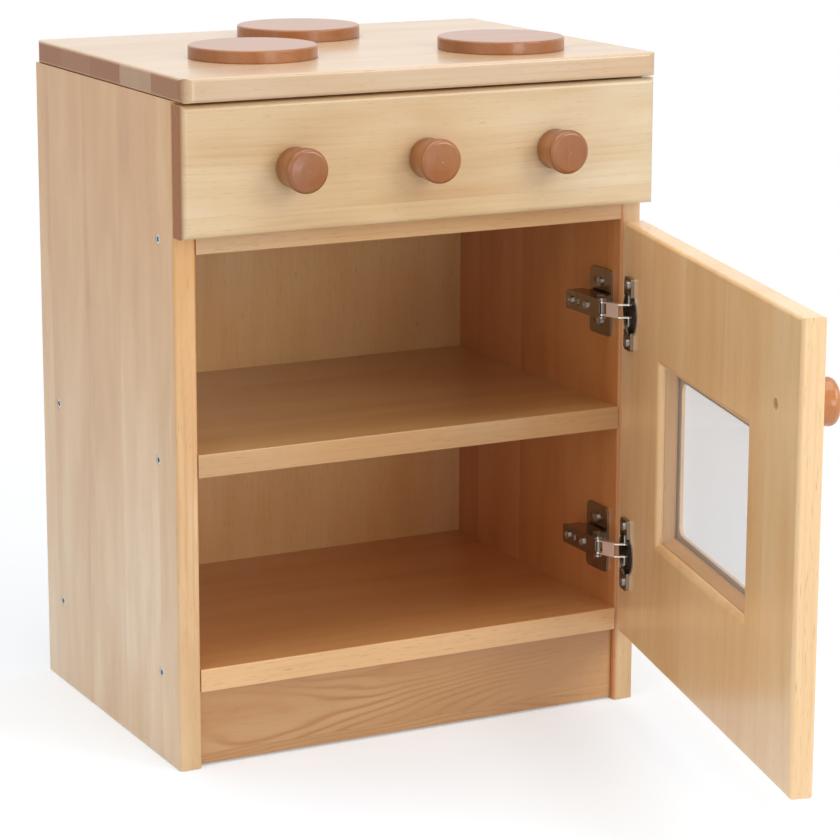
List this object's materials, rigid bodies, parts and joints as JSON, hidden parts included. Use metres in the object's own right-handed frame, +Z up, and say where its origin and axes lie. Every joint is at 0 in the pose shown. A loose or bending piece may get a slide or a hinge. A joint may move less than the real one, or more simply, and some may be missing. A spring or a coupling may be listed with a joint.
{
  "type": "toy oven",
  "caption": "Wooden play cooker: open cabinet with shelves, round hotplates, turning control knobs and a side-hung windowed door on concealed cup hinges.",
  "frame": {"origin": "on the floor, midway between the side boards, under the middle of the cabinet and its open door", "axes": "+X to the right as seen from the front, +Y to the back, +Z up"},
  "size_m": [0.4, 0.681, 0.54],
  "materials": {
    "maple_top": "satin",
    "maple_side": "satin",
    "maple_front": "satin",
    "maple_shelf": "satin",
    "maple_kick": "satin",
    "maple_door": "satin",
    "maple_bead": "satin",
    "back_ply": "satin",
    "beech": "satin",
    "alder": "satin",
    "zinc": "satin",
    "nickel": "polished",
    "pane": "clear"
  },
  "bodies": {
    "carcass": {"top_panel": "maple_top", "side_left": "maple_side", "side_right": "maple_side", "back_panel": "back_ply", "control_fascia": "maple_front", "front_rail": "maple_front", "middle_shelf": "maple_shelf", "bottom_shelf": "maple_shelf", "kickboard": "maple_kick", "screws_left": "zinc", "screws_right": "zinc", "top_dowels": "beech", "fascia_dowels": "beech", "kick_dowels": "beech", "hotplate_left": "alder", "hotplate_rear": "alder", "hotplate_right": "alder", "hotplate_dowels": "beech", "hinge_top_plate": "nickel", "hinge_top_plate_screws": "zinc", "hinge_top_arm": "nickel", "hinge_top_arm_screws": "zinc", "hinge_top_pin": "nickel", "hinge_low_plate": "nickel", "hinge_low_plate_screws": "zinc", "hinge_low_arm": "nickel", "hinge_low_arm_screws": "zinc", "hinge_low_pin": "nickel"},
    "outer_links": {"hinge_top_link": "nickel", "hinge_low_link": "nickel"},
    "door": {"door_panel": "maple_door", "window_pane": "pane", "bead_top": "maple_bead", "bead_bottom": "maple_bead", "bead_hinge_side": "maple_bead", "bead_knob_side": "maple_bead", "door_knob": "alder", "door_knob_screw": "zinc", "hinge_top_cup": "nickel", "hinge_top_cup_screws": "zinc", "hinge_low_cup": "nickel", "hinge_low_cup_screws": "zinc"},
    "control_left": {"knob_left": "alder", "knob_screw_left": "zinc", "knob_washer_left": "zinc"},
    "control_middle": {"knob_middle": "alder", "knob_screw_middle": "zinc", "knob_washer_middle": "zinc"},
    "control_right": {"knob_right": "alder", "knob_screw_right": "zinc", "knob_washer_right": "zinc"}
  },
  "joints": [
    {"name": "door_swing", "type": "hinge", "parent": "outer_links", "child": "door", "pos_m": [0.17854, 0.03872, 0.2295], "axis": [0, 0, 1], "range_deg": [-120.08, 22.12]},
    {"name": "link_swing", "type": "hinge", "parent": "carcass", "child": "outer_links", "pos_m": [0.1655, 0.05831, 0.2295], "axis": [0, 0, 1], "range_deg": [-8.15, 44.15]},
    {"name": "knob_left_turn", "type": "hinge", "parent": "carcass", "child": "control_left", "pos_m": [-0.11, 0.04011, 0.46], "axis": [0, -1, 0], "continuous": true},
    {"name": "knob_middle_turn", "type": "hinge", "parent": "carcass", "child": "control_middle", "pos_m": [0, 0.04011, 0.46], "axis": [0, -1, 0], "continuous": true},
    {"name": "knob_right_turn", "type": "hinge", "parent": "carcass", "child": "control_right", "pos_m": [0.11, 0.04011, 0.46], "axis": [0, -1, 0], "continuous": true}
  ],
  "couplings": [
    {"joint": "link_swing", "follows": "door_swing", "ratio": -0.36709}
  ]
}
